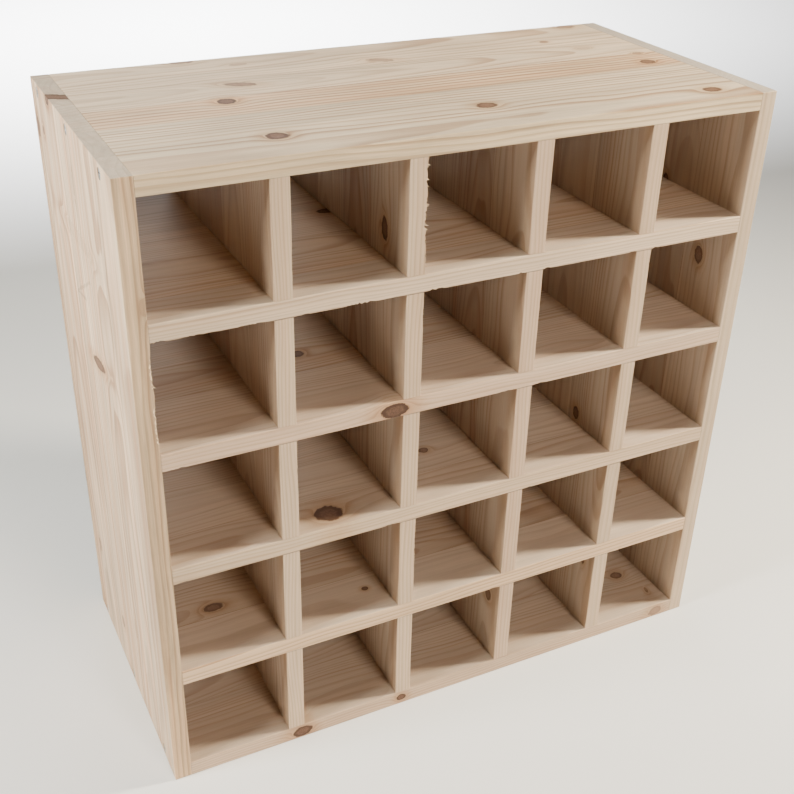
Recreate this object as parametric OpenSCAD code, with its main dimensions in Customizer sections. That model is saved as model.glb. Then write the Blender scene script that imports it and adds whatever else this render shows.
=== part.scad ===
/* [Rack] */
// Overall width, over the two side panels
rack_w = 520; // [440:10:640]
// Overall depth, front to back
rack_d = 250; // [200:10:320]
// Overall height
rack_h = 520; // [440:10:640]
// Thickness of every board
board_t = 14; // [12:1:18]

/* [Halved joints] */
// Play on each side of a board in its notch
lap_play = 0.3; // [0.1:0.1:0.5]

/* [Screws] */
// Outside diameter of the screw thread
screw_d = 4; // [3.5:0.5:5]
// Length of a screw, head included
screw_l = 40; // [35:5:50]
// Diameter of the screw head
head_d = 8; // [7:0.5:9]
// Distance from the front edges to the front screw
front_inset = 31; // [20:1:40]
// Distance from the back edges to the back screw
back_inset = 23; // [20:1:40]

/* [Dowels] */
// Diameter of a dowel
dowel_d = 6; // [6:1:8]
// Length of a dowel
dowel_l = 30; // [25:5:40]
// How deep a dowel sits in the side, top or bottom panel
dowel_sink = 8; // [6:1:9]
// Distance from the front and back edges to a dowel
dowel_inset = 55; // [30:5:80]

/* [Hidden] */
$fn = 48;

// The rack stands on z = 0, with its middle over the origin and its front facing -Y.
cells = 5;
inner_boards = cells - 1;
inner_w = rack_w - 2 * board_t;
inner_h = rack_h - 2 * board_t;
cell_w = (inner_w - inner_boards * board_t) / cells;
cell_h = (inner_h - inner_boards * board_t) / cells;

// Signs that pick a side panel and the top or the bottom panel
left = -1;
right = 1;
bottom = -1;
top = 1;

screws_in_joint = 3;
head_sink = 0.4;
head_rim = 0.3;
head_taper = (head_d - screw_d) / 2;
head_ring = 0.2;
clearance = 0.4;
tip_l = 4;
recess_w = 0.9;
recess_span = 0.55 * head_d;
recess_depth = 2;
recess_core_d = 2;
dowel_chamfer = 0.8;
glue_gap = 1;
over = 1;

pine = [0.85, 0.78, 0.67];
pale_pine = [0.88, 0.82, 0.74];
beech = [0.80, 0.64, 0.46];
zinc = [0.72, 0.72, 0.70];

function divider_x(n) = n * (cell_w + board_t) - (inner_w + board_t) / 2;
function shelf_z(n) = n * (cell_h + board_t) + board_t / 2;
function panel_z(level) = rack_h / 2 + level * (rack_h - board_t) / 2;
function screw_y(n) =
  front_inset - rack_d / 2 + n * (rack_d - front_inset - back_inset) / (screws_in_joint - 1);

// Puts a child that points along +Z on a side panel's face, pointing into the rack.
module into_side(side, face_w, y, z) {
  translate([side * face_w / 2, y, z])
    rotate([0, -90 * side, 0])
      children();
}

// Puts a child that points along +Z on the inner face of the top or bottom panel.
module into_panel(level, x, y) {
  translate([x, y, rack_h / 2 + level * inner_h / 2])
    rotate([level == top ? 180 : 0, 0, 0])
      children();
}

// A countersunk screw with its head's face at z = head_sink
module screw() {
  difference() {
    translate([0, 0, head_sink])
      rotate_extrude()
        polygon([
          [0, 0], [head_d / 2, 0], [head_d / 2, head_rim], [screw_d / 2, head_rim + head_taper],
          [screw_d / 2, screw_l - tip_l], [0, screw_l]
        ]);
    for (turn = [0, 90])
      rotate([0, 0, turn])
        translate([-recess_span / 2, -recess_w / 2, head_sink - over])
          cube([recess_span, recess_w, recess_depth + over]);
    translate([0, 0, head_sink - over])
      cylinder(d = recess_core_d, h = recess_depth + over);
  }
}

// The countersink and clearance hole of the side panel, and the hole that the thread fills beyond it
module screw_hole() {
  translate([0, 0, -over])
    cylinder(d = head_d + 2 * head_ring, h = head_sink + head_rim + over);
  translate([0, 0, head_sink + head_rim])
    cylinder(d1 = head_d, d2 = screw_d, h = head_taper);
  cylinder(d = screw_d + clearance, h = board_t);
  cylinder(d = screw_d, h = screw_l + over);
}

// A dowel with chamfered ends, across the joint at z = 0
module dowel() {
  r = dowel_d / 2;
  translate([0, 0, -dowel_sink])
    rotate_extrude()
      polygon([
        [0, 0], [r - dowel_chamfer, 0], [r, dowel_chamfer], [r, dowel_l - dowel_chamfer],
        [r - dowel_chamfer, dowel_l], [0, dowel_l]
      ]);
}

// The hole for a dowel in both boards, with room for glue at each end
module dowel_hole() {
  translate([0, 0, -dowel_sink - glue_gap])
    cylinder(d = dowel_d, h = dowel_l + 2 * glue_gap);
}

// One child at each dowel between a side panel and the end of shelf n
module at_shelf_end(side, n) {
  for (end = [-1, 1])
    into_side(side, inner_w, end * (rack_d / 2 - dowel_inset), shelf_z(n))
      children();
}

// One child at each dowel between the top or bottom panel and the end of divider n
module at_divider_end(level, n) {
  for (end = [-1, 1])
    into_panel(level, divider_x(n), end * (rack_d / 2 - dowel_inset))
      children();
}

// One child at each screw of a corner joint
module at_corner(side, level) {
  for (n = [0 : screws_in_joint - 1])
    into_side(side, rack_w, screw_y(n), panel_z(level))
      children();
}

// A full-height board, drilled for the screws at both ends and for the shelves' dowels
module side_panel(side) {
  color(pale_pine)
    difference() {
      translate([side * (rack_w - board_t) / 2, 0, rack_h / 2])
        cube([board_t, rack_d, rack_h], center = true);
      for (level = [bottom, top])
        at_corner(side, level)
          screw_hole();
      for (n = [1 : inner_boards])
        at_shelf_end(side, n)
          dowel_hole();
    }
}

// A board between the side panels, drilled for the screws and for the dividers' dowels
module end_panel(level) {
  color(pine)
    difference() {
      translate([0, 0, panel_z(level)])
        cube([inner_w, rack_d, board_t], center = true);
      for (side = [left, right])
        at_corner(side, level)
          screw_hole();
      for (n = [1 : inner_boards])
        at_divider_end(level, n)
          dowel_hole();
    }
}

// A level board, notched from the back for the dividers and whole along its front edge
module shelf(n) {
  slot_w = board_t + 2 * lap_play;
  color(pine)
    difference() {
      translate([0, 0, shelf_z(n)])
        cube([inner_w, rack_d, board_t], center = true);
      for (crossing = [1 : inner_boards])
        translate([divider_x(crossing) - slot_w / 2, -lap_play, shelf_z(n) - board_t])
          cube([slot_w, rack_d, 2 * board_t]);
      for (side = [left, right])
        at_shelf_end(side, n)
          dowel_hole();
    }
}

// An upright board, notched from the front for the shelves and whole along its back edge
module divider(n) {
  slot_h = board_t + 2 * lap_play;
  color(pine)
    difference() {
      translate([divider_x(n), 0, rack_h / 2])
        cube([board_t, rack_d, inner_h], center = true);
      for (crossing = [1 : inner_boards])
        translate([divider_x(n) - board_t, lap_play - rack_d, shelf_z(crossing) - slot_h / 2])
          cube([2 * board_t, rack_d, slot_h]);
      for (level = [bottom, top])
        at_divider_end(level, n)
          dowel_hole();
    }
}

module corner_screws(side, level) {
  color(zinc)
    at_corner(side, level)
      screw();
}

module shelf_dowels(side) {
  color(beech)
    for (n = [1 : inner_boards])
      at_shelf_end(side, n)
        dowel();
}

module divider_dowels(level) {
  color(beech)
    for (n = [1 : inner_boards])
      at_divider_end(level, n)
        dowel();
}

side_panel(left);  // side_panel_left
side_panel(right);  // side_panel_right
end_panel(top);  // top_panel
end_panel(bottom);  // bottom_panel
for (n = [1 : inner_boards]) {
  shelf(n);
  divider(n);
}
corner_screws(left, top);  // top_left_screws
corner_screws(right, top);  // top_right_screws
corner_screws(left, bottom);  // bottom_left_screws
corner_screws(right, bottom);  // bottom_right_screws
shelf_dowels(left);  // shelf_dowels_left
shelf_dowels(right);  // shelf_dowels_right
divider_dowels(top);  // divider_dowels_top
divider_dowels(bottom);  // divider_dowels_bottom
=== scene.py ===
import math
import random

import bmesh
import bpy
from mathutils import Matrix, Quaternion, Vector


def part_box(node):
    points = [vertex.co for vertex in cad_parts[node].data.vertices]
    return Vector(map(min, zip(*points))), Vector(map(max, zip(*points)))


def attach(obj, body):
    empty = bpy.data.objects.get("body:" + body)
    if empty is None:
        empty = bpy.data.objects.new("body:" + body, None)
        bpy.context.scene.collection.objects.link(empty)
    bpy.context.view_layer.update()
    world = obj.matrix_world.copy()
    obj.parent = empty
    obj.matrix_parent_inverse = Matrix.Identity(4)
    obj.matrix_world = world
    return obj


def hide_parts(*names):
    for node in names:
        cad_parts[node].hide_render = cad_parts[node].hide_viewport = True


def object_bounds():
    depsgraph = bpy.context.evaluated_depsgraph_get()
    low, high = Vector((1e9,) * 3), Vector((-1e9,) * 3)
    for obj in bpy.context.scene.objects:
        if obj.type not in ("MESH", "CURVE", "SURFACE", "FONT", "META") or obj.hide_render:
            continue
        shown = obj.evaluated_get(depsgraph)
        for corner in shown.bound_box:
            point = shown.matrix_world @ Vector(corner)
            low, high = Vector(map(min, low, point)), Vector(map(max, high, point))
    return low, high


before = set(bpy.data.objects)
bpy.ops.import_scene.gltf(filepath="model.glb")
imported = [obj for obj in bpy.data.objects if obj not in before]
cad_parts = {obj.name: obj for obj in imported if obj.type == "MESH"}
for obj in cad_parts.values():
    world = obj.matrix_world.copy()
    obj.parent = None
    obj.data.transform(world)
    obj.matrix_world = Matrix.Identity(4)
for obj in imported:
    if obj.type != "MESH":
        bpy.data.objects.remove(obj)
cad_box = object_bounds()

MM = 0.001

# -------------------------------------------- the boards, from the frame

GRID_NUMBERS = range(1, 5)
SHELVES = [f"shelf_{n}" for n in GRID_NUMBERS]
DIVIDERS = [f"divider_{n}" for n in GRID_NUMBERS]
SIDES = {"left": -1, "right": 1}
LEVELS = {"bottom": -1, "top": 1}

# A level board's own axes are the row's. An upright board's own x, its grain, points up and its z left.
UPRIGHT = Matrix(((0, 0, -1, 0), (0, 1, 0, 0), (1, 0, 0, 0), (0, 0, 0, 1)))


def centre_and_size(node):
    low, high = (Vector(corner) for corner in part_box(node))
    return (low + high) / 2, high - low


RACK_LOW, RACK_HIGH = (Vector(corner) for corner in cad_box)
BOARD_T = centre_and_size("top_panel")[1].z
SHELF_Z = [centre_and_size(node)[0].z for node in SHELVES]
DIVIDER_X = [centre_and_size(node)[0].x for node in DIVIDERS]

# Board edges and halved joints
EDGE_EASE = 0.5 * MM
LAP_PLAY = 0.3 * MM

# Dowels: how far they sink into the outer boards, and the room for glue at each end
DOWEL_R = 3 * MM
DOWEL_L = 30 * MM
DOWEL_SINK = 8 * MM
GLUE_GAP = 1 * MM

# Screws
SCREWS_IN_JOINT = 3
SCREW_R = 2 * MM
SCREW_L = 40 * MM
SCREW_CLEARANCE = 0.2 * MM
SCREW_HEAD_R = 4 * MM
SCREW_HEAD_SINK = 0.4 * MM
SCREW_HEAD_RIM = 0.3 * MM


# -------------------------------------------- shader graph


class Value:
    """An output socket that takes part in arithmetic by adding Math nodes."""

    def __init__(self, graph, socket):
        self.graph = graph
        self.socket = socket

    def __add__(self, other):
        return self.graph.math("ADD", self, other)

    def __sub__(self, other):
        return self.graph.math("SUBTRACT", self, other)

    def __rsub__(self, other):
        return self.graph.math("SUBTRACT", other, self)

    def __mul__(self, other):
        return self.graph.math("MULTIPLY", self, other)

    def __truediv__(self, other):
        return self.graph.math("DIVIDE", self, other)

    __radd__ = __add__
    __rmul__ = __mul__


class Graph:
    """Adds nodes to one material. Any input is a number, a tuple or a Value."""

    def __init__(self, material):
        self.material = material
        material.use_nodes = True
        self.tree = material.node_tree
        self.tree.nodes.clear()

    def add(self, kind, inputs=(), output=0, **settings):
        node = self.tree.nodes.new(kind)
        for name, setting in settings.items():
            setattr(node, name, setting)
        for key, value in dict(inputs).items():
            self.plug(node.inputs[key], value)
        return Value(self, node.outputs[output]) if node.outputs else None

    def plug(self, socket, value):
        if isinstance(value, Value):
            self.tree.links.new(value.socket, socket)
        else:
            socket.default_value = value

    def math(self, operation, *values):
        return self.add("ShaderNodeMath", enumerate(values), operation=operation)

    def vector_math(self, operation, *values, output=0):
        return self.add("ShaderNodeVectorMath", enumerate(values), output, operation=operation)

    def length(self, vector):
        return self.vector_math("LENGTH", vector, output="Value")

    def dot(self, first, second):
        return self.vector_math("DOT_PRODUCT", first, second, output="Value")

    def join(self, x, y, z):
        return self.add("ShaderNodeCombineXYZ", enumerate((x, y, z)))

    def split(self, vector):
        first = self.add("ShaderNodeSeparateXYZ", {0: vector})
        return [Value(self, socket) for socket in first.socket.node.outputs]

    def smooth(self, value, start, end, low=0.0, high=1.0):
        """low before start, high after end, and a smooth step between."""
        inputs = {"Value": value, "From Min": start, "From Max": end, "To Min": low, "To Max": high}
        return self.add("ShaderNodeMapRange", inputs, interpolation_type="SMOOTHSTEP")

    def noise(self, vector, detail=2.0, roughness=0.5, output="Fac"):
        inputs = {"Vector": vector, "Scale": 1.0, "Detail": detail, "Roughness": roughness}
        return self.add("ShaderNodeTexNoise", inputs, output)

    def white(self, number, output="Value"):
        return self.add("ShaderNodeTexWhiteNoise", {"W": number}, output, noise_dimensions="1D")

    def mix(self, factor, first, second, blend="MIX"):
        """Mixes two colours, by the sockets that the node shows for them."""
        inputs = {"Factor": factor, "A": first, "B": second}
        node = self.tree.nodes.new("ShaderNodeMix")
        node.data_type = "RGBA"
        node.blend_type = blend
        node.clamp_factor = True
        sockets = {s.name: s for s in node.inputs if s.enabled}
        for name, value in inputs.items():
            self.plug(sockets[name], value)
        return Value(self, next(s for s in node.outputs if s.enabled))

    def scale(self, vector, factor):
        return self.add("ShaderNodeVectorMath", {0: vector, "Scale": factor}, operation="SCALE")

    def grey(self, value):
        return self.join(value, value, value)

    def millimetres(self):
        """Where the shaded point lies in the piece's own axes."""
        return self.scale(self.add("ShaderNodeTexCoord", output="Object"), 1 / MM)

    def attribute(self, name):
        return self.add("ShaderNodeAttribute", output="Fac", attribute_name=name)

    def finish(self, colour, roughness, height, specular=0.35, metallic=0.0):
        """A Principled surface with relief. height is in millimetres."""
        bump = self.add("ShaderNodeBump", {"Height": height, "Strength": 1.0, "Distance": MM})
        inputs = {
            "Base Color": colour,
            "Roughness": roughness,
            "Normal": bump,
            "Specular IOR Level": specular,
            "Metallic": metallic,
        }
        surface = self.add("ShaderNodeBsdfPrincipled", inputs)
        self.add("ShaderNodeOutputMaterial", {"Surface": surface})


def srgb(*display):
    """A colour given as 0 to 255 display values, as the linear numbers that shaders take."""
    linear = [((value / 255 + 0.055) / 1.055) ** 2.4 for value in display]
    return (*linear, 1.0)


# -------------------------------------------- pine

# Lengths below are in millimetres, in a board's own axes: x along the grain, y across it, z through it.
HALF_DEPTH = (RACK_HIGH.y - RACK_LOW.y) / 2 / MM


class Tone:
    """What staves of one kind share: a tint, ring strength, share of pink heartwood and ring spacing."""

    def __init__(self, tint, rings, heart, spacing):
        self.tint = tint
        self.rings = rings
        self.heart = heart
        self.spacing = spacing


# PALE and GREY are on the top panel only. Their cool cast is painted light, for the cool light that falls
# on the top; their rings, heartwood and spacing are the wood's own.
PALE = Tone((1.03, 1.06, 1.10), 0.80, 0.20, 4.4)
GREY = Tone((0.94, 0.99, 1.03), 1.10, 0.10, 5.2)
PINK = Tone((0.93, 0.88, 0.83), 1.30, 0.70, 5.6)
SOFT = Tone((1.03, 1.02, 1.04), 0.70, 1.00, 5.0)
# The floor and wall tones below are for the boards that line the cells. They are darker and bluer than
# the outer tones, and that is painted shade for the dim light in the cells. How they differ from each
# other is the wood's own.
FLOOR = Tone((0.85, 0.88, 0.97), 0.46, 0.30, 3.2)
FLOOR_PALE = Tone((0.89, 0.93, 1.03), 0.36, 0.15, 4.0)
FLOOR_WARM = Tone((0.83, 0.83, 0.87), 0.55, 0.45, 2.8)
WALL = Tone((0.75, 0.78, 0.87), 0.52, 0.35, 2.8)
WALL_PALE = Tone((0.79, 0.83, 0.93), 0.42, 0.25, 3.4)
WALL_WARM = Tone((0.73, 0.73, 0.80), 0.56, 0.55, 2.6)


def front_sawn(rng, start, end):
    """Rings that lie level in the front edge, which shows them as lines along it."""
    side = rng.choice((-1, 1))
    return start + rng.uniform(0, 22), side * rng.uniform(26, 48), side * rng.uniform(0.004, 0.016)


def flat_sawn(rng, start, end):
    """Rings that lie nearly level under the face, which shows long arches."""
    middle = (start + end) / 2 + rng.uniform(-0.3, 0.3) * (end - start)
    side = rng.choice((-1, 1))
    return middle, side * rng.uniform(22, 48), side * rng.uniform(0.02, 0.05)


def rift_sawn(rng, start, end):
    """Rings that stand up through the face, which shows straight lines."""
    side = rng.choice((-1, 1))
    return (start + end) / 2 + side * rng.uniform(70, 150), rng.uniform(-40, 40), rng.uniform(-0.01, 0.01)


class Stave:
    """One glued strip of a board.

    end is its far edge across the board. The tree's centre lies at (pith_y, pith_z) in the middle of the
    board's length and drifts by slope.
    """

    def __init__(self, rng, start, end, cut, tone):
        self.end = end
        self.pith = cut(rng, start, end)
        value = rng.uniform(0.94, 1.04)
        self.tint = tuple(value * channel for channel in tone.tint)
        self.look = (tone.spacing * rng.uniform(0.85, 1.2), tone.rings, tone.heart)


def make_staves(seed, pattern):
    """pattern lists each stave's (end, cut, tone) from the front of the board to the back."""
    rng = random.Random(seed)
    start = -HALF_DEPTH
    staves = []
    for end, cut, tone in pattern:
        staves.append(Stave(rng, start, end, cut, tone))
        start = end
    return staves


class Knot:
    """A branch in the board.

    It passes through (x, y, z) along axis, and tapers to nothing over taper. stretch is how much longer
    than wide it is along the grain, and dark is how strongly it shows.
    """

    def __init__(self, x, y, radius, dark=1.0, axis=(0, 0, 1), stretch=1.3, z=0, taper=0):
        self.place = (x, y, z)
        self.radius = radius
        self.dark = dark
        self.axis = tuple(Vector(axis).normalized())
        self.stretch = stretch
        self.taper = taper


EARLY_WOOD = srgb(214, 190, 161)
LATE_WOOD = srgb(158, 120, 88)
KNOT_WOOD = srgb(124, 93, 75)
KNOT_RIM = srgb(74, 50, 38)
END_WOOD = srgb(188, 178, 166)
TORN_WOOD = srgb(238, 216, 182)

# Tints multiply the colour of the wood below them
HALO_TINT = (0.82, 0.70, 0.58, 1.0)
HEART_TINT = (0.90, 0.76, 0.68, 1.0)
# Painted shade, darker and yellower, for the faces beside the narrow edges
PAINTED_SHADE_TINT = (0.86, 0.76, 0.66, 1.0)
GLUE_TINT = (0.60, 0.48, 0.38, 1.0)
PENCIL_TINT = (0.62, 0.62, 0.62, 1.0)
# Over the floor and wall tones, the edge tints also take back the painted shade of those tones
YELLOW_EDGE = (1.02, 0.98, 0.88, 1.0)
FRESH_EDGE = (1.15, 1.11, 1.00, 1.0)
DULL_EDGE = (1.24, 1.10, 0.92, 1.0)
PINK_EDGE = (1.17, 1.09, 1.01, 1.0)
PALE_EDGE = (1.36, 1.32, 1.22, 1.0)
DIVIDER_EDGE = (1.27, 1.20, 1.07, 1.0)
PINK_DIVIDER_EDGE = (1.27, 1.17, 1.06, 1.0)

PINE_SPECULAR = 0.2

# A distance that anything is nearer than
FAR = 99.0

# How far round a knot the rings swell, in millimetres, and how uneven the rings are, in rings
RING_SWELL = 5.0
RING_DRIFT = 2.4

THINNEST_KNOT = 0.3

# The narrow edges' look starts this far in, and the painted shade, darker and yellower, on the faces
# beside them
EDGE_BAND = 1.2
PAINTED_SHADE_BAND = 19.0


def pick_stave(g, staves, y):
    """Steps from stave to stave across the board.

    Gives the pith, tint, look and number of the stave at y, and how far the nearest glue seam is.
    """
    pith, tint, look = staves[0].pith, staves[0].tint, staves[0].look
    number = 0.0
    glue = None
    for before, after in zip(staves, staves[1:]):
        past = g.math("GREATER_THAN", y, before.end)

        def step(value, old, new):
            return g.vector_math("MULTIPLY_ADD", past, tuple(b - a for a, b in zip(old, new)), value)

        pith = step(pith, before.pith, after.pith)
        tint = step(tint, before.tint, after.tint)
        look = step(look, before.look, after.look)
        number = past + number
        off = g.math("ABSOLUTE", y - before.end)
        glue = off if glue is None else g.math("MINIMUM", glue, off)
    return pith, tint, look, number, glue


def place_knots(g, knots, p):
    """Where the knots are: how far they push the rings and swell them, and what the nearest is like.

    The last two results are how far from the nearest knot's axis a point lies, as a share of its radius,
    and how dark that knot is.
    """
    shift = (0.0, 0.0, 0.0)
    swell = 0.0
    inside = FAR
    darkness = 0.0
    for knot in knots:
        away = g.vector_math("SUBTRACT", p, knot.place)
        ahead = g.dot(away, knot.axis)
        beside = g.vector_math("SUBTRACT", away, g.scale(knot.axis, ahead))
        distance = g.length(g.vector_math("MULTIPLY", beside, (1 / knot.stretch, 1.0, 1.0)))
        radius = knot.radius
        if knot.taper:
            radius = g.math("MAXIMUM", knot.radius * (1.0 - ahead / knot.taper), THINNEST_KNOT)
        reach = g.math("DIVIDE", radius, g.math("MAXIMUM", distance, radius))
        reach = reach * reach
        shift = g.vector_math("MULTIPLY_ADD", beside, reach, shift)
        swell = g.math("MAXIMUM", swell, reach)
        near = distance / radius
        nearest = g.math("LESS_THAN", near, inside)
        darkness = darkness + nearest * (knot.dark - darkness)
        inside = g.math("MINIMUM", inside, near)
    return shift, swell, inside, darkness


def late_wood(g, bent, swell, pith, slope, spacing, seed):
    """How dark the rings are: each darkens to a thin late line, and the next starts pale."""
    x, y, z = g.split(bent)
    pith_y, pith_z = pith
    radius = g.length(g.join(y - pith_y, z - pith_z - slope * x, 0.0)) + swell * RING_SWELL
    turns = radius / spacing
    turns = turns + g.noise(g.join(turns * 0.31, seed, 0.0), 1.0) * RING_DRIFT
    phase = g.math("FRACT", turns)
    strength = g.white(g.math("FLOOR", turns) + seed)
    return g.smooth(phase, 0.38, 0.88) * g.smooth(phase, 0.92, 1.0, 1.0, 0.0) * (strength * 0.6 + 0.4)


class Surface:
    """The colour, relief and roughness of a board, to which each of its features adds."""

    def __init__(self, g, p, apart):
        self.g = g
        self.p = p
        self.apart = apart
        self.fibre = self.along_grain(0.035, 1.3, 3.0, 0.7)
        self.cloud = self.along_grain(0.006, 0.014, 2.0, 0.5)
        self.knot = 0.0

    def along_grain(self, along, across, detail, roughness):
        """Noise that is stretched along the grain. along and across are features per millimetre."""
        stretched = self.g.vector_math("MULTIPLY", self.apart, (along, across, across))
        return self.g.noise(stretched, detail, roughness)

    def tint(self, factor, colour):
        self.colour = self.g.mix(factor, self.colour, colour, "MULTIPLY")

    def scale(self, by):
        self.colour = self.g.vector_math("MULTIPLY", self.colour, by)

    def grow(self, late, heart, tint, contrast):
        """Bare wood: rings, pink heartwood, and streaks and fibres that run along the grain."""
        g = self.g
        self.colour = g.mix(late * 0.9, EARLY_WOOD, LATE_WOOD)
        pinkness = g.smooth(self.along_grain(0.0025, 0.075, 3.0, 0.6), 0.42, 0.68)
        self.tint(pinkness * heart, HEART_TINT)
        streaks = (self.along_grain(0.004, 0.11, 4.0, 0.72) - 0.5) * 0.42
        fibres = (self.fibre - 0.5) * 0.26
        clouds = (self.cloud - 0.5) * 0.30
        self.scale(tint)
        self.scale(g.grey((streaks + fibres + clouds) * contrast + 1.0))
        self.height = late * 0.03 + (self.fibre - 0.5) * 0.06
        self.rough = 0.64 - late * 0.06

    def add_knots(self, inside, darkness):
        """Dark branch wood with a darker, broken rim, and brown wood round it."""
        g = self.g
        ragged = inside + (g.noise(g.scale(self.apart, 0.25), 3.0) - 0.5) * 0.6
        blotch = g.noise(g.scale(self.apart, 0.8), 3.0, 0.65)
        halo = g.smooth(ragged, 1.0, 2.8, 1.0, 0.0) * darkness
        core = g.smooth(ragged, 0.88, 1.05, 1.0, 0.0)
        rim = g.smooth(ragged, 0.35, 0.95) * g.smooth(blotch, 0.30, 0.60, 0.3, 1.0)
        rings = g.math("SINE", ragged * 16.0) * 0.06
        brightness = rings + (blotch - 0.5) + 1.8 - darkness
        branch = g.mix(rim * 0.85, KNOT_WOOD, KNOT_RIM)
        knot_colour = g.vector_math("MULTIPLY", branch, g.grey(brightness))
        self.knot = core * darkness
        self.tint(halo * 0.8, HALO_TINT)
        self.colour = g.mix(self.knot, self.colour, knot_colour)
        self.height = self.height + self.knot * 0.06

    def add_glue(self, glue):
        """A fine dark seam between staves, fainter in places."""
        g = self.g
        seam = g.smooth(glue, 0.10, 0.34, 1.0, 0.0) * g.smooth(self.cloud, 0.3, 0.7, 0.35, 0.95)
        self.tint(seam, GLUE_TINT)
        self.height = self.height - seam * 0.06

    def add_pencil(self, points):
        """A faint hand-drawn line through these (x, y) points."""
        g = self.g
        nearest = FAR
        for (x0, y0), (x1, y1) in zip(points, points[1:]):
            length = math.hypot(x1 - x0, y1 - y0)
            along = ((x1 - x0) / length, (y1 - y0) / length, 0.0)
            away = g.vector_math("SUBTRACT", self.p, (x0, y0, 0.0))
            run = g.math("MINIMUM", g.math("MAXIMUM", g.dot(away, along), 0.0), length)
            off = g.vector_math("SUBTRACT", away, g.scale(along, run))
            flat = g.vector_math("MULTIPLY", off, (1.0, 1.0, 0.0))
            nearest = g.math("MINIMUM", nearest, g.length(flat))
        wobble = g.noise(g.scale(self.p, 0.12), 2.0)
        line = g.smooth(nearest + (wobble - 0.5) * 4.0, 0.6, 2.2, 1.0, 0.0)
        self.tint(line * 0.6, PENCIL_TINT)

    def cut(self):
        """Duller, open end grain, which leaves knots dark, and the pale broken fibres of torn wood."""
        g = self.g
        end = g.attribute("end_grain")
        torn = g.attribute("torn")
        pores = g.noise(g.vector_math("MULTIPLY", self.apart, (1.2, 2.2, 2.2)), 2.0, 0.6)
        paled = g.mix(0.65 - self.knot * 0.6, self.colour, END_WOOD)
        dulled = g.vector_math("MULTIPLY", paled, g.grey((pores - 0.5) * 0.5 + 0.88))
        self.colour = g.mix(end, self.colour, dulled)
        self.colour = g.mix(torn * 0.5, self.colour, TORN_WOOD)
        self.height = self.height + end * (pores - 0.5) * 0.16 + torn * (self.fibre - 0.5) * 0.5
        self.rough = self.rough + end * 0.15 + torn * 0.2


def pine(name, look):
    """Solid pine: rings round each stave's pith, bent round the knots, that every face cuts through."""
    g = Graph(bpy.data.materials.new(name))
    seed = look.seed * 7.3
    p = g.millimetres()
    y = g.split(p)[1]
    pith, tint, stave_look, number, glue = pick_stave(g, make_staves(look.seed, look.pattern), y)
    apart = g.vector_math("ADD", p, g.scale(g.white(number + seed, "Color"), 400.0))
    spacing, rings, heart = g.split(stave_look)
    pith_y, pith_z, slope = g.split(pith)
    shift, swell, inside, darkness = place_knots(g, look.knots, p)

    wander = g.noise(g.vector_math("MULTIPLY", apart, (0.0045, 0.018, 0.018)), 2.0, 0.5, "Color")
    wander = g.vector_math("MULTIPLY_ADD", wander, (0.0, 16.0, 16.0), (0.0, -8.0, -8.0))
    bent = g.vector_math("ADD", g.vector_math("SUBTRACT", p, shift), wander)
    late = late_wood(g, bent, swell, (pith_y, pith_z), slope, spacing, seed)

    # The narrow edges have their own ring strength and tint. Over floor and wall tones, that tint also
    # takes their painted shade back off the edges.
    outward = g.math("ABSOLUTE", y)
    edge = g.smooth(outward, HALF_DEPTH - EDGE_BAND, HALF_DEPTH - EDGE_BAND / 4)
    late = g.math("MINIMUM", late * (rings + edge * (look.edge_rings - rings)), 1.0)

    wood = Surface(g, p, apart)
    wood.grow(late, heart, tint, look.contrast)
    wood.tint(edge, look.edge_tint)
    # Painted shade: the faces darken and yellow towards the narrow edges, and it fades out in the edge
    # band
    if look.painted_shade:
        beside = g.smooth(outward, HALF_DEPTH - PAINTED_SHADE_BAND, HALF_DEPTH - 4.0) * (1.0 - edge)
        wood.tint(beside * look.painted_shade, PAINTED_SHADE_TINT)
    if look.knots:
        wood.add_knots(inside, darkness)
    if glue is not None:
        wood.add_glue(glue)
    if look.pencil:
        wood.add_pencil(look.pencil)
    wood.cut()
    g.finish(wood.colour, wood.rough, wood.height, specular=PINE_SPECULAR)
    return g.material


# -------------------------------------------- beech and zinc


BEECH_PALE = srgb(214, 176, 136)
BEECH_DARK = srgb(176, 130, 92)
ZINC_BRIGHT = (0.52, 0.53, 0.54, 1.0)
ZINC_DULL = (0.30, 0.31, 0.32, 1.0)


def beech():
    """Fine, even, pinkish wood with short dark flecks."""
    g = Graph(bpy.data.materials.new("beech"))
    p = g.millimetres()
    fleck = g.smooth(g.noise(g.vector_math("MULTIPLY", p, (0.35, 2.4, 2.4)), 2.0, 0.6), 0.55, 0.70)
    broad = g.noise(g.vector_math("MULTIPLY", p, (0.02, 0.35, 0.35)), 2.0)
    fibre = g.noise(g.vector_math("MULTIPLY", p, (0.10, 3.0, 3.0)), 2.0, 0.6)
    end = g.attribute("end_grain")
    colour = g.mix(fleck * 0.55 + (broad - 0.4) * 0.9, BEECH_PALE, BEECH_DARK)
    colour = g.mix(end * 0.45, colour, BEECH_DARK)
    height = (fibre - 0.5) * 0.05 - fleck * 0.02
    g.finish(colour, 0.55 + end * 0.2, height)
    return g.material


def zinc():
    """Thin bright plating with fine scratches and duller patches."""
    g = Graph(bpy.data.materials.new("zinc"))
    p = g.millimetres()
    patch = g.noise(g.scale(p, 0.9), 3.0, 0.6)
    scratch = g.noise(g.vector_math("MULTIPLY", p, (7.0, 0.6, 7.0)), 3.0, 0.7)
    colour = g.mix(g.smooth(patch, 0.40, 0.70), ZINC_BRIGHT, ZINC_DULL)
    rough = 0.28 + patch * 0.22 + (scratch - 0.5) * 0.2
    g.finish(colour, rough, (scratch - 0.5) * 0.015 + patch * 0.01, metallic=1.0)
    return g.material


# -------------------------------------------- mesh tools


def new_object(name, mesh):
    obj = bpy.data.objects.new(name, mesh)
    bpy.context.scene.collection.objects.link(obj)
    return obj


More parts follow.
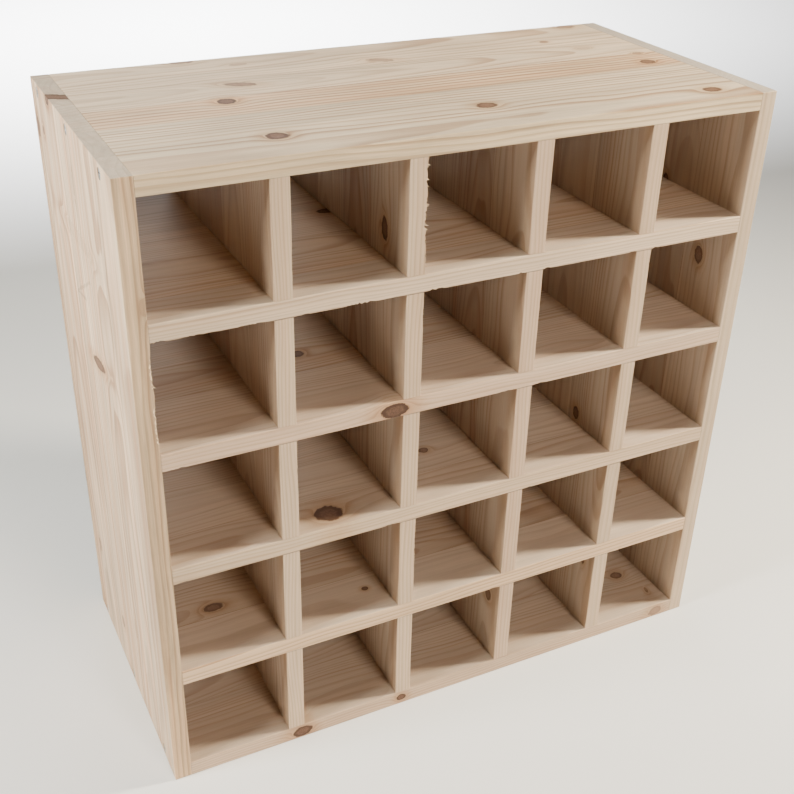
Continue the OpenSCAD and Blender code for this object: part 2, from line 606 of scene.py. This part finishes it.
def mesh_from(bm, name):
    bmesh.ops.recalc_face_normals(bm, faces=bm.faces)
    mesh = bpy.data.meshes.new(name)
    bm.to_mesh(mesh)
    bm.free()
    return mesh


def lathe(bm, rings, segments, matrix=Matrix.Identity(4), radius_at=None):
    """A closed solid turned about +Z from (z, radius) rings. radius_at(z, radius, angle) can shape it."""
    rows = []
    for z, radius in rings:
        row = []
        for i in range(segments):
            angle = math.tau * i / segments
            r = radius_at(z, radius, angle) if radius_at else radius
            row.append(bm.verts.new(matrix @ Vector((r * math.cos(angle), r * math.sin(angle), z))))
        rows.append(row)
    for low, high in zip(rows, rows[1:]):
        for i in range(segments):
            j = (i + 1) % segments
            bm.faces.new((low[i], low[j], high[j], high[i]))
    bm.faces.new(reversed(rows[0]))
    bm.faces.new(rows[-1])


def carve(obj, cutter_mesh, operation="DIFFERENCE"):
    """Cuts a mesh out of an object, or joins it on. Both are at the origin."""
    tool = new_object("cutter", cutter_mesh)
    cut = obj.modifiers.new("cut", "BOOLEAN")
    cut.operation = operation
    cut.solver = "EXACT"
    cut.object = tool
    depsgraph = bpy.context.evaluated_depsgraph_get()
    result = bpy.data.meshes.new_from_object(obj.evaluated_get(depsgraph), depsgraph=depsgraph)
    obj.modifiers.clear()
    obj.data = result
    bpy.data.objects.remove(tool)


# -------------------------------------------- joinery


def along_x(side, x, y, z):
    """Turns +Z to point inwards from a side panel's face."""
    return Matrix.Translation((x, y, z)) @ Matrix.Rotation(-side * math.pi / 2, 4, "Y")


def along_z(level, x, y, z):
    """Turns +Z to point inwards from the top or bottom panel's inner face."""
    return Matrix.Translation((x, y, z)) @ Matrix.Rotation(math.pi if level > 0 else 0, 4, "X")


def screw_places(side_name, level_name):
    """One matrix for each screw of a corner joint, on the side panel's outer face."""
    low, high = (Vector(corner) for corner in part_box(f"{level_name}_{side_name}_screws"))
    side = SIDES[side_name]
    front = low.y + SCREW_HEAD_R
    back = high.y - SCREW_HEAD_R
    x = RACK_LOW.x if side < 0 else RACK_HIGH.x
    z = (low.z + high.z) / 2
    steps = [n / (SCREWS_IN_JOINT - 1) for n in range(SCREWS_IN_JOINT)]
    return [along_x(side, x, front + (back - front) * t, z) for t in steps]


def dowel_rows():
    """The y of the front and the back dowel."""
    low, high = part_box("shelf_dowels_left")
    return low[1] + DOWEL_R, high[1] - DOWEL_R


def shelf_dowel_places(side_name):
    """One matrix for each dowel between a side panel and the shelves, on the panel's inner face."""
    side = SIDES[side_name]
    x = (RACK_LOW.x + BOARD_T) if side < 0 else (RACK_HIGH.x - BOARD_T)
    return [along_x(side, x, y, z) for z in SHELF_Z for y in dowel_rows()]


def divider_dowel_places(level_name):
    """One matrix for each dowel between a level panel and the dividers, on the panel's inner face."""
    level = LEVELS[level_name]
    z = (RACK_LOW.z + BOARD_T) if level < 0 else (RACK_HIGH.z - BOARD_T)
    return [along_z(level, x, y, z) for x in DIVIDER_X for y in dowel_rows()]


def screw_hole(bm, place):
    """A countersink and clearance hole through the side panel, and the thread's hole beyond it."""
    over = 1 * MM
    ease = 0.1 * MM
    rim = SCREW_HEAD_SINK + SCREW_HEAD_RIM
    loose = SCREW_R + SCREW_CLEARANCE
    rings = [
        (-over, SCREW_HEAD_R + 0.25 * MM),
        (rim - ease, SCREW_HEAD_R + 0.15 * MM),
        (rim, SCREW_HEAD_R),
        (rim + SCREW_HEAD_R - loose, loose),
        (BOARD_T, loose),
        (BOARD_T + ease, SCREW_R),
        (SCREW_L + over, SCREW_R),
    ]
    lathe(bm, rings, segments=40, matrix=place)


def dowel_hole(bm, place):
    start = -DOWEL_SINK - GLUE_GAP
    end = DOWEL_L - DOWEL_SINK + GLUE_GAP
    lathe(bm, [(start, DOWEL_R), (end, DOWEL_R)], segments=24, matrix=place)


def thread_radius(z, radius, angle):
    """A single-start thread that bites outwards from the core and runs out at the tip."""
    pitch = 2.2 * MM
    flank = 0.28
    height = 0.5
    phase = (z / pitch - angle / math.tau) % 1.0
    crest = max(0.0, 1.0 - abs(phase - 0.5) / flank)
    return radius * (1.0 + height * crest)


def screw_rings():
    """(z, radius) rows from the middle of the head to the tip."""
    head_z = SCREW_HEAD_SINK
    rim_r = SCREW_HEAD_R - 0.02 * MM
    shank_r = 1.45 * MM
    core_r = 1.3 * MM
    thread_start = 15.5 * MM
    thread_step = 0.275 * MM
    taper_length = 6 * MM
    point_r = 0.15 * MM
    tip_z = head_z + SCREW_L - 0.1 * MM
    rings = [
        (head_z, SCREW_HEAD_R - 0.15 * MM),
        (head_z + 0.1 * MM, rim_r),
        (head_z + SCREW_HEAD_RIM, rim_r),
        (head_z + SCREW_HEAD_RIM + 2.0 * MM, 2.0 * MM),
        (head_z + SCREW_HEAD_RIM + 2.9 * MM, shank_r),
        (thread_start - 0.3 * MM, shank_r),
    ]
    steps = int((tip_z - thread_start) / thread_step)
    for i in range(steps + 1):
        z = thread_start + i * thread_step
        left = (tip_z - z) / taper_length
        rings.append((z, core_r * left if left < 1 else core_r))
    rings[-1] = (tip_z, point_r)
    return rings, thread_start


def screw_solid():
    """One screw with its head's face outwards along -Z, without its recess."""
    rings, thread_start = screw_rings()
    bm = bmesh.new()

    def radius_at(z, radius, angle):
        return thread_radius(z, radius, angle) if z >= thread_start else radius

    lathe(bm, rings, segments=24, radius_at=radius_at)
    return mesh_from(bm, "screw")


# The recess cutters start a little proud of the head
RECESS_MOUTH_Z = SCREW_HEAD_SINK - 0.3 * MM


def recess_solid():
    """A four-winged cutter for the head, narrower at its floor than at its mouth."""
    mouth = (RECESS_MOUTH_Z, 2.4 * MM, 0.52 * MM)
    floor = (SCREW_HEAD_SINK + 2.1 * MM, 1.0 * MM, 0.38 * MM)
    rows = []
    bm = bmesh.new()
    for z, span, half_width in (mouth, floor):
        row = []
        for quarter in range(4):
            turn = Matrix.Rotation(quarter * math.pi / 2, 3, "Z")
            for x, y in ((half_width, -half_width), (span, -half_width), (span, half_width)):
                row.append(bm.verts.new(turn @ Vector((x, y, z))))
        rows.append(row)
    upper, lower = rows
    corners = len(upper)
    for i in range(corners):
        j = (i + 1) % corners
        bm.faces.new((upper[i], upper[j], lower[j], lower[i]))
    bm.faces.new(reversed(upper))
    bm.faces.new(lower)
    return mesh_from(bm, "recess")


def cone_solid():
    """The cutter for the middle of the recess."""
    bm = bmesh.new()
    rings = [(RECESS_MOUTH_Z, 1.45 * MM), (SCREW_HEAD_SINK + 2.4 * MM, 0.15 * MM)]
    lathe(bm, rings, segments=16)
    return mesh_from(bm, "cone")


def copies(mesh, places, turn):
    """One mesh with a copy at each place, each turned a little further about its own axis."""
    bm = bmesh.new()
    for i, place in enumerate(places):
        one = mesh.copy()
        one.transform(place @ Matrix.Rotation(turn * i, 4, "Z"))
        bm.from_mesh(one)
        bpy.data.meshes.remove(one)
    joined = bpy.data.meshes.new(mesh.name)
    bm.to_mesh(joined)
    bm.free()
    return joined


def smooth_sides(obj, sharp_degrees):
    for polygon in obj.data.polygons:
        polygon.use_smooth = True
    obj.data.set_sharp_from_angle(angle=math.radians(sharp_degrees))


def fit_piece(obj, node, slot, material, place=Matrix.Identity(4)):
    """Puts a piece made in the row frame onto its own axes, gives it its material, and hides the part
    that it stands for.
    """
    obj.data.transform(place.inverted())
    obj.matrix_world = place
    obj.data.materials.clear()
    obj.data.materials.append(material)
    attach(obj, "root")
    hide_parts(node)


def make_screws():
    model = new_object("screw_model", screw_solid())
    carve(model, recess_solid())
    carve(model, cone_solid())
    material = zinc()
    turn_between = 1.1
    sharp_degrees = 35
    for side_name in SIDES:
        for level_name in LEVELS:
            node = f"{level_name}_{side_name}_screws"
            places = screw_places(side_name, level_name)
            screws = new_object(f"{node}_zinc", copies(model.data, places, turn_between))
            smooth_sides(screws, sharp_degrees)
            fit_piece(screws, node, "zinc_screw", material)
    bpy.data.objects.remove(model)


def flute_radius(z, radius, angle):
    """Rounded flutes along the dowel's side."""
    flutes = 16
    depth = 0.22 * MM
    return radius - depth * (0.5 + 0.5 * math.cos(flutes * angle)) ** 2


def dowel_solid():
    """A fluted dowel with chamfered ends, across the joint at z = 0."""
    chamfer = 0.8 * MM
    low, high = -DOWEL_SINK, DOWEL_L - DOWEL_SINK
    rings = [
        (low, DOWEL_R - chamfer),
        (low + chamfer, DOWEL_R),
        (high - chamfer, DOWEL_R),
        (high, DOWEL_R - chamfer),
    ]
    bm = bmesh.new()
    lathe(bm, rings, segments=96, radius_at=flute_radius)
    return mesh_from(bm, "dowel")


def make_dowels():
    model = dowel_solid()
    material = beech()
    rows = [(f"shelf_dowels_{name}", shelf_dowel_places(name), Matrix.Identity(4)) for name in SIDES]
    rows += [(f"divider_dowels_{name}", divider_dowel_places(name), UPRIGHT) for name in LEVELS]
    turn_between = 0.13
    sharp_degrees = 30
    for node, places, axes in rows:
        dowels = new_object(f"{node}_beech", copies(model, places, turn_between))
        fit_piece(dowels, node, "beech_dowel", material, axes)
        mark_end_grain(dowels.data)
        smooth_sides(dowels, sharp_degrees)


def mark_end_grain(mesh, skip=()):
    """Writes, for each face, how squarely it cuts across the grain, from 0 to 1."""
    side_grain = 0.4
    end_grain = 0.7
    marks = mesh.attributes.new("end_grain", "FLOAT", "FACE")
    for polygon in mesh.polygons:
        across = (abs(polygon.normal.x) - side_grain) / (end_grain - side_grain)
        marks.data[polygon.index].value = 0.0 if polygon.index in skip else min(1.0, max(0.0, across))


# -------------------------------------------- boards


def notch_centres(node):
    """Where the crossing boards lie along this board, in its own axes."""
    if node in SHELVES:
        return DIVIDER_X
    if node in DIVIDERS:
        middle = centre_and_size(node)[0].z
        return [z - middle for z in SHELF_Z]
    return []


def outline(node, length, depth):
    """The board's plan: whole panels, shelves notched from the back, and dividers from the front."""
    open_side = 1 if node in SHELVES else -1
    half_l, half_d = length / 2, depth / 2
    mouth = open_side * half_d
    notch_floor = -open_side * LAP_PLAY
    half_slot = BOARD_T / 2 + LAP_PLAY
    points = [(-half_l, -mouth), (half_l, -mouth), (half_l, mouth)]
    for x in sorted(notch_centres(node), reverse=True):
        points += [(x + half_slot, mouth), (x + half_slot, notch_floor)]
        points += [(x - half_slot, notch_floor), (x - half_slot, mouth)]
    return [*points, (-half_l, mouth)]


def board_mesh(node, length, depth):
    """The notched board, with its outer edges eased."""
    bm = bmesh.new()
    corners = [bm.verts.new((x, y, -BOARD_T / 2)) for x, y in outline(node, length, depth)]
    face = bm.faces.new(corners)
    raised = bmesh.ops.extrude_face_region(bm, geom=[face])["geom"]
    top = [v for v in raised if isinstance(v, bmesh.types.BMVert)]
    bmesh.ops.translate(bm, verts=top, vec=(0, 0, BOARD_T))
    near = 1e-6

    def on_rim(v):
        return abs(abs(v.co.x) - length / 2) < near or abs(abs(v.co.y) - depth / 2) < near

    def inner_corner(e):
        upright = abs(e.verts[0].co.z - e.verts[1].co.z) > near
        return upright and abs(abs(e.verts[0].co.x) - length / 2) > near

    eased = [e for e in bm.edges if all(on_rim(v) for v in e.verts) and not inner_corner(e)]
    bmesh.ops.bevel(bm, geom=eased, offset=EDGE_EASE, segments=2, profile=0.5, affect="EDGES")
    return mesh_from(bm, node)


def add_holes(node, bm):
    """Adds cutters for the board's screw and dowel holes, in the row frame."""
    for side_name in SIDES:
        for level_name in LEVELS:
            if node in (f"side_panel_{side_name}", f"{level_name}_panel"):
                for place in screw_places(side_name, level_name):
                    screw_hole(bm, place)
    middle = centre_and_size(node)[0]
    for side_name in SIDES:
        for place in shelf_dowel_places(side_name):
            at_end = node in SHELVES and abs(place.translation.z - middle.z) < MM
            if at_end or node == f"side_panel_{side_name}":
                dowel_hole(bm, place)
    for level_name in LEVELS:
        for place in divider_dowel_places(level_name):
            at_end = node in DIVIDERS and abs(place.translation.x - middle.x) < MM
            if at_end or node == f"{level_name}_panel":
                dowel_hole(bm, place)


class TornEdge:
    """Wood torn off a front edge by the saw.

    The edge runs from start, along a vector. inwards points from it across the board's front face.
    slivers is how many loose fibres stand off it.
    """

    def __init__(self, start, along, inwards, depth, slivers=0):
        self.start = Vector(start)
        self.along = Vector(along)
        self.inwards = Vector(inwards)
        self.depth = depth
        self.slivers = slivers


BACKWARDS = Vector((0, 1, 0))
TORN_MARK = 1


def torn_wedge(edge, rng):
    """A jagged four-sided bar for tearing wood off an edge. It fades out at both ends."""
    proud = 0.3 * MM
    step = 1.4 * MM
    steps = max(5, int(edge.along.length / step))
    bm = bmesh.new()
    rows = []
    for i in range(steps + 1):
        t = i / steps
        swell = math.sin(math.pi * t) ** 0.5 if 0 < t < 1 else 0
        across = edge.depth * swell * rng.uniform(0.1, 1.3)
        back = edge.depth * swell * rng.uniform(1.6, 3.2)
        profile = ((-proud, -proud), (across, -proud), (0.8 * across, 0.7 * back), (-proud, back))
        middle = edge.start + edge.along * t
        rows.append([bm.verts.new(middle + edge.inwards * a + BACKWARDS * b) for a, b in profile])
    for low, high in zip(rows, rows[1:]):
        for i in range(4):
            j = (i + 1) % 4
            bm.faces.new((low[i], low[j], high[j], high[i]))
    bm.faces.new(rows[0])
    bm.faces.new(rows[-1])
    return torn_mesh(bm, "wedge")


def sliver(edge, rng):
    """A loose fibre: a thin three-sided spike rooted in the torn edge."""
    run = edge.along.normalized()
    root_depth = edge.depth * 1.1
    root = edge.start + edge.along * rng.uniform(0.08, 0.9)
    root = root + edge.inwards * root_depth + BACKWARDS * root_depth
    reach = edge.depth * rng.uniform(1.8, 2.9)
    sideways = rng.uniform(1.0, 4.0) * MM
    back = rng.uniform(-0.2, 0.6) * MM
    tip = root + run * sideways - edge.inwards * reach + BACKWARDS * back
    thick = rng.uniform(0.45, 0.8) * MM
    bm = bmesh.new()
    base = [
        bm.verts.new(root - run * thick),
        bm.verts.new(root + run * thick + BACKWARDS * thick),
        bm.verts.new(root + run * thick - BACKWARDS * thick),
    ]
    point = bm.verts.new(tip)
    for i in range(3):
        bm.faces.new((base[i], base[(i + 1) % 3], point))
    bm.faces.new(reversed(base))
    return torn_mesh(bm, "sliver")


def torn_mesh(bm, name):
    """Marks a cutter's faces, so that those it leaves in a board can be told from the sawn ones."""
    for face in bm.faces:
        face.material_index = TORN_MARK
    return mesh_from(bm, name)


def tear_edges(obj, edges, rng):
    """Cuts and joins one solid at a time, because solids that overlap spoil a cut."""
    for edge in edges:
        carve(obj, torn_wedge(edge, rng))
        for _ in range(edge.slivers):
            carve(obj, sliver(edge, rng), "UNION")


def board_slot(node):
    if node in SHELVES + DIVIDERS:
        return "grid_pine"
    return "side_pine" if node.startswith("side") else "carcass_pine"


def make_board(node, material, torn_edges=()):
    """Cuts the board in its own axes at the origin, then stands it in its place."""
    centre, size = centre_and_size(node)
    upright = node in DIVIDERS or node.startswith("side_panel")
    place = Matrix.Translation(centre) @ (UPRIGHT if upright else Matrix.Identity(4))
    length = size.z if upright else size.x
    obj = new_object(f"{node}_pine", board_mesh(node, length, size.y))
    obj.data.transform(place)
    holes = bmesh.new()
    add_holes(node, holes)
    carve(obj, mesh_from(holes, "holes"))
    if torn_edges:
        tear_edges(obj, torn_edges, random.Random(node))
    torn = {polygon.index for polygon in obj.data.polygons if polygon.material_index == TORN_MARK}
    for polygon in obj.data.polygons:
        polygon.material_index = 0
    fit_piece(obj, node, board_slot(node), material, place)
    mark_end_grain(obj.data, torn)
    marks = obj.data.attributes.new("torn", "FLOAT", "FACE")
    for index in torn:
        marks.data[index].value = 1.0


# -------------------------------------------- where the front edges are torn


FRONT = RACK_LOW.y
PANEL_INNER_X = RACK_LOW.x + BOARD_T
CELL = DIVIDER_X[1] - DIVIDER_X[0] - BOARD_T
LEFT = (-1, 0, 0)
UP = (0, 0, 1)
DIVIDER_RIGHT = [x + BOARD_T / 2 for x in DIVIDER_X]


def row_top(row):
    """The height of a row's ceiling. Row 1 is the highest."""
    return RACK_HIGH.z - BOARD_T - (row - 1) * (CELL + BOARD_T)


def column_left(column):
    return PANEL_INNER_X + (column - 1) * (CELL + BOARD_T)


def torn_upright(x, row, start, end, depth, slivers=0):
    """Tears the right front edge at x, from start down to end as shares of a row's height."""
    length = (end - start) * CELL
    z = row_top(row) - start * CELL
    return TornEdge((x, FRONT, z), (0, 0, -length), LEFT, depth * MM, slivers)


def torn_level(row, column, start, end, depth):
    """Tears the lower edge of the board over a row, from start to end as shares of a column's width."""
    length = (end - start) * CELL
    x = column_left(column) + start * CELL
    return TornEdge((x, FRONT, row_top(row)), (length, 0, 0), UP, depth * MM)


# Each stretch that the saw has torn, by row, column and shares of a cell. The depths are in millimetres.
TORN_EDGES = {
    "side_panel_left": [
        torn_upright(PANEL_INNER_X, 2, 0.02, 0.46, 1.8, 1),
        torn_upright(PANEL_INNER_X, 2, 0.48, 0.93, 2.0, 1),
        torn_upright(PANEL_INNER_X, 4, 0.30, 0.50, 0.7),
    ],
    "shelf_4": [
        torn_level(2, 1, 0.00, 0.13, 1.5),
        torn_level(2, 1, 0.22, 0.55, 0.8),
        torn_level(2, 1, 0.62, 0.95, 0.9),
        torn_level(2, 2, 0.02, 0.14, 1.2),
        torn_level(2, 2, 0.45, 0.72, 1.6),
        torn_level(2, 2, 0.78, 0.97, 0.9),
        torn_level(2, 3, 0.04, 0.20, 1.4),
        torn_level(2, 3, 0.90, 1.00, 1.2),
        torn_level(2, 4, 0.00, 0.12, 1.3),
        torn_level(2, 4, 0.90, 1.00, 1.2),
        torn_level(2, 5, 0.00, 0.12, 1.2),
    ],
    "shelf_3": [
        torn_level(3, 1, 0.05, 0.22, 0.9),
        torn_level(3, 3, 0.80, 0.98, 1.1),
        torn_level(3, 4, 0.02, 0.15, 1.1),
    ],
    "shelf_2": [
        torn_level(4, 1, 0.03, 0.15, 0.8),
        torn_level(4, 2, 0.80, 0.98, 1.0),
        torn_level(4, 4, 0.02, 0.12, 0.9),
    ],
    "shelf_1": [
        torn_level(5, 1, 0.05, 0.15, 0.8),
        torn_level(5, 3, 0.85, 0.97, 0.9),
    ],
    "divider_1": [
        torn_upright(DIVIDER_RIGHT[0], 3, 0.05, 0.55, 0.8, 1),
        torn_upright(DIVIDER_RIGHT[0], 1, 0.55, 0.97, 0.6),
    ],
    "divider_2": [
        torn_upright(DIVIDER_RIGHT[1], 1, 0.01, 0.30, 1.4, 4),
        torn_upright(DIVIDER_RIGHT[1], 1, 0.31, 0.78, 1.9, 8),
        torn_upright(DIVIDER_RIGHT[1], 1, 0.80, 0.97, 1.2, 2),
        torn_upright(DIVIDER_RIGHT[1], 2, 0.02, 0.35, 0.8, 1),
        torn_upright(DIVIDER_RIGHT[1], 4, 0.05, 0.60, 1.0, 2),
    ],
    "divider_3": [
        torn_upright(DIVIDER_RIGHT[2], 3, 0.02, 0.25, 0.7),
    ],
    "divider_4": [
        torn_upright(DIVIDER_RIGHT[3], 2, 0.02, 0.20, 0.7),
    ],
}


# -------------------------------------------- each board's wood


class Look:
    """A board's staves from front to back, its knots, and any pencil line on it.

    seed sets its random draws and contrast how strong its streaks are. edge is the ring strength and tint
    of its narrow edges, and painted_shade is how strongly its faces are darkened and yellowed near them,
    as painted shade.
    """

    def __init__(
        self, seed, pattern, knots=(), pencil=(), contrast=1.0, edge=(0.5, FRESH_EDGE), painted_shade=0.0
    ):
        self.seed = seed
        self.pattern = pattern
        self.knots = knots
        self.pencil = pencil
        self.contrast = contrast
        self.edge_rings, self.edge_tint = edge
        self.painted_shade = painted_shade


BACK = HALF_DEPTH

BOARD_LOOKS = {
    "side_panel_left": Look(
        1,
        [(-84, front_sawn, SOFT), (-30, flat_sawn, SOFT), (36, rift_sawn, SOFT), (109, flat_sawn, SOFT),
         (BACK, rift_sawn, PINK)],
        [
            Knot(221, 114, 5, 0.9, (0.3, 0.2, 1), 1.8),
            Knot(78, -15, 5, 0.9, (-0.2, 0.97, 0.25), 1.0, z=7),
            Knot(214, 0, 3, 0.3, stretch=3.0),
            Knot(226, 95, 3, 0.9, stretch=1.3),
            Knot(-172, 94, 4, 0.7, (0.6, 0, 1), 1.8),
            Knot(-213, 23, 4, 0.6, (0.8, 0.2, 1), 1.5),
            Knot(-170, -32, 4, 0.3, stretch=2.0),
            Knot(260, 60, 6.5, 1.0, (0, 0.5, 1), 1.0),
            Knot(172, -122, 4, 0.12, (0, 1, 0.1), 1.6, z=-6),
        ],
        [(146, -17), (118, 35), (123, 6)],
        contrast=2.6,
        edge=(0.65, YELLOW_EDGE),
    ),
    "side_panel_right": Look(
        2,
        [(-64, front_sawn, WALL_PALE), (-12, flat_sawn, WALL), (40, flat_sawn, WALL_PALE),
         (88, rift_sawn, WALL_WARM),
         (BACK, flat_sawn, WALL)],
        [
            Knot(152, -28, 3.5, 0.9, (0.9, 0.2, 1)),
            Knot(102, -85, 5, 0.9, (0.9, 0.2, 1), 1.6),
            Knot(-60, 60, 6, 0.8, (0.3, 0.3, 1)),
            Knot(-190, -20, 5, 0.7, (0.6, 0, 1)),
            Knot(215, 70, 4, 0.6),
        ],
        contrast=1.2,
        edge=(0.45, FRESH_EDGE),
        painted_shade=0.8,
    ),
    "top_panel": Look(
        3,
        [(-30, front_sawn, GREY), (13, rift_sawn, PINK), (59, flat_sawn, PALE), (BACK, flat_sawn, PALE)],
        [
            Knot(-143, 4, 7, 1.05, stretch=1.1),
            Knot(-138, -85, 7, 1.0, stretch=1.2),
            Knot(29, -75, 6.5, 0.92, stretch=1.3),
            Knot(214, -103, 6, 0.92, stretch=1.3),
            Knot(219, -14, 6, 0.92, stretch=1.2),
            Knot(-134, 49, 5, 0.75, (2.2, -0.8, 1)),
            Knot(0, 77, 5, 0.6, (1.8, -0.9, 1)),
            Knot(-144, 121, 6, 0.7, (0.4, 0.4, 1), 1.8),
            Knot(222, 117, 6, 0.6, (0.4, 0.4, 1), 1.8),
            Knot(174, 76, 3, 0.6),
            Knot(194, 44, 3.5, 0.35, stretch=2.0),
            Knot(228, 13, 3.5, 0.6),
            Knot(-101, 100, 3.5, 0.4, stretch=2.2),
        ],
        contrast=2.0,
        edge=(1.2, FRESH_EDGE),
    ),
    "bottom_panel": Look(
        4,
        [(-62, front_sawn, FLOOR), (-14, flat_sawn, FLOOR), (44, rift_sawn, FLOOR_WARM),
         (92, flat_sawn, FLOOR), (BACK, rift_sawn, FLOOR_PALE)],
        [
            Knot(219, -71, 5, 0.8),
            Knot(-146, -124, 5.5, 1.0, (0.2, 1, 0.3), 1.6, taper=30),
            Knot(-52, -124, 3.5, 1.0, (0, 1, 0), taper=20),
            Knot(229, -124, 5, 0.6, (0.2, 1, 0.3), 1.5, taper=30),
            Knot(60, 40, 6, 0.9, (0.2, 0.2, 1)),
        ],
        edge=(0.6, PINK_EDGE),
    ),
    "shelf_1": Look(
        5,
        [(-74, front_sawn, FLOOR_PALE), (-22, flat_sawn, FLOOR_WARM), (30, rift_sawn, FLOOR),
         (82, flat_sawn, FLOOR),
         (BACK, flat_sawn, FLOOR_PALE)],
        [Knot(-200, -62, 5, 0.85, stretch=1.8), Knot(-74, -93, 2.5, 0.9), Knot(120, 30, 5, 0.8)],
        edge=(0.9, DULL_EDGE),
    ),
    "shelf_2": Look(
        6,
        [(-86, front_sawn, FLOOR), (-34, flat_sawn, FLOOR_PALE), (28, rift_sawn, FLOOR),
         (80, flat_sawn, FLOOR_WARM),
         (BACK, flat_sawn, FLOOR)],
        [Knot(-114, -108, 10, 0.95, (0.1, 0.1, 1), 1.2), Knot(-2, -56, 4, 0.8), Knot(170, 60, 5, 0.8)],
    ),
    "shelf_3": Look(
        7,
        [(-52, front_sawn, FLOOR), (-4, flat_sawn, FLOOR_WARM), (50, rift_sawn, FLOOR),
         (BACK, flat_sawn, FLOOR_PALE)],
        [
            Knot(-105, -24, 5, 0.9),
            Knot(-65, -124, 6, 1.15, (0, 1, 0), 1.9, z=-1, taper=30),
            Knot(90, 70, 6, 0.8),
        ],
        edge=(0.4, PINK_EDGE),
    ),
    "shelf_4": Look(
        8,
        [(-88, front_sawn, FLOOR), (-26, flat_sawn, FLOOR_WARM), (24, rift_sawn, FLOOR),
         (BACK, flat_sawn, FLOOR)],
        [Knot(-62, 16, 5, 0.95, (0.3, 0.2, 1), 2.0), Knot(140, 90, 5, 0.7)],
        edge=(0.6, PALE_EDGE),
    ),
    "divider_1": Look(
        9,
        [(-70, front_sawn, WALL), (-20, flat_sawn, WALL_PALE), (34, rift_sawn, WALL_WARM),
         (BACK, flat_sawn, WALL)],
        [Knot(30, 60, 5, 0.8), Knot(-150, 20, 5, 0.8)],
        edge=(0.45, DIVIDER_EDGE),
        painted_shade=1.0,
    ),
    "divider_2": Look(
        10,
        [(-62, front_sawn, WALL), (-12, flat_sawn, WALL_WARM), (40, flat_sawn, WALL_PALE),
         (BACK, rift_sawn, WALL)],
        [Knot(173, -87, 5, 0.95, (1.2, 0.1, 1), 2.2), Knot(-60, 30, 5, 0.8)],
        edge=(0.45, DIVIDER_EDGE),
        painted_shade=1.0,
    ),
    "divider_3": Look(
        11,
        [(-66, front_sawn, WALL), (-14, flat_sawn, WALL_WARM), (46, rift_sawn, WALL),
         (BACK, flat_sawn, WALL_PALE)],
        [Knot(-182, -106, 5, 0.9), Knot(120, 50, 5, 0.8)],
        edge=(0.45, PINK_DIVIDER_EDGE),
        painted_shade=1.0,
    ),
    "divider_4": Look(
        12,
        [(-60, front_sawn, WALL), (-8, flat_sawn, WALL_PALE), (52, flat_sawn, WALL_WARM),
         (BACK, rift_sawn, WALL)],
        [
            Knot(-39, -72, 4.5, 0.9, (0.8, 0.2, 1), 1.2),
            Knot(-187, -108, 2.5, 0.9, (2, 0, 1), 3.0),
            Knot(150, 40, 5, 0.8),
        ],
        edge=(0.45, DIVIDER_EDGE),
        painted_shade=1.0,
    ),
}


# -------------------------------------------- studio


def aim_camera():
    """Looks down on the rack from its front left, a little out of level."""
    place = Vector((-0.399, -0.790, 0.7585))
    aim = Vector((-0.0164, -0.0313, 0.26))
    level = (aim - place).to_track_quat("-Z", "Y")
    roll = Quaternion((0, 0, 1), math.radians(1.44))
    data = bpy.data.cameras.new("camera")
    data.sensor_width = 36
    data.lens = 51.96
    camera = new_object("camera", data)
    camera.location = place
    camera.rotation_euler = (level @ roll).to_euler()
    bpy.context.scene.camera = camera


def area_light(name, place, aim, size, power, colour=(1, 1, 1)):
    data = bpy.data.lights.new(name, "AREA")
    data.shape = "DISK"
    data.size = size
    data.energy = power
    data.color = colour
    light = new_object(name, data)
    light.location = place
    light.rotation_euler = (Vector(aim) - Vector(place)).to_track_quat("-Z", "Y").to_euler()


def make_studio():
    """A small warm lamp at the right, softer ones round the rack, and one on the floor behind it."""
    middle = (0, 0, 0.26)
    aside = (0, -0.1, 0.25)
    area_light("side", (0.95, -0.32, 0.98), aside, size=0.16, power=32, colour=(1.0, 0.90, 0.71))
    area_light("left", (-1.2, -0.12, 1.0), middle, size=0.5, power=34, colour=(1.0, 0.98, 0.88))
    area_light("front", (0.3, -2.6, 1.5), middle, size=0.7, power=43, colour=(1.0, 0.91, 0.81))
    area_light("back", (0.6, 3.0, 1.2), middle, size=1.2, power=27, colour=(0.90, 0.95, 1.0))
    area_light("backdrop", (0.5, 2.2, 1.9), (0.7, 5.0, 0), size=2, power=560)
    world = bpy.data.worlds.new("studio")
    world.use_nodes = True
    background = world.node_tree.nodes["Background"]
    background.inputs["Color"].default_value = (1, 1, 1, 1)
    background.inputs["Strength"].default_value = 0.01
    bpy.context.scene.world = world


def make_floor():
    half = 8.0
    z = -0.2 * MM
    paint = (0.9, 0.9, 0.9, 1)
    corners = [(-half, -half, z), (half, -half, z), (half, half, z), (-half, half, z)]
    mesh = bpy.data.meshes.new("floor")
    mesh.from_pydata(corners, [], [(0, 1, 2, 3)])
    floor = new_object("floor", mesh)
    g = Graph(bpy.data.materials.new("floor_paint"))
    g.finish(paint, roughness=0.7, height=0.0)
    mesh.materials.append(g.material)


# -------------------------------------------- build


for node, look in BOARD_LOOKS.items():
    make_board(node, pine(f"pine_{node}", look), TORN_EDGES.get(node, ()))
make_screws()
make_dowels()
aim_camera()
make_studio()
make_floor()
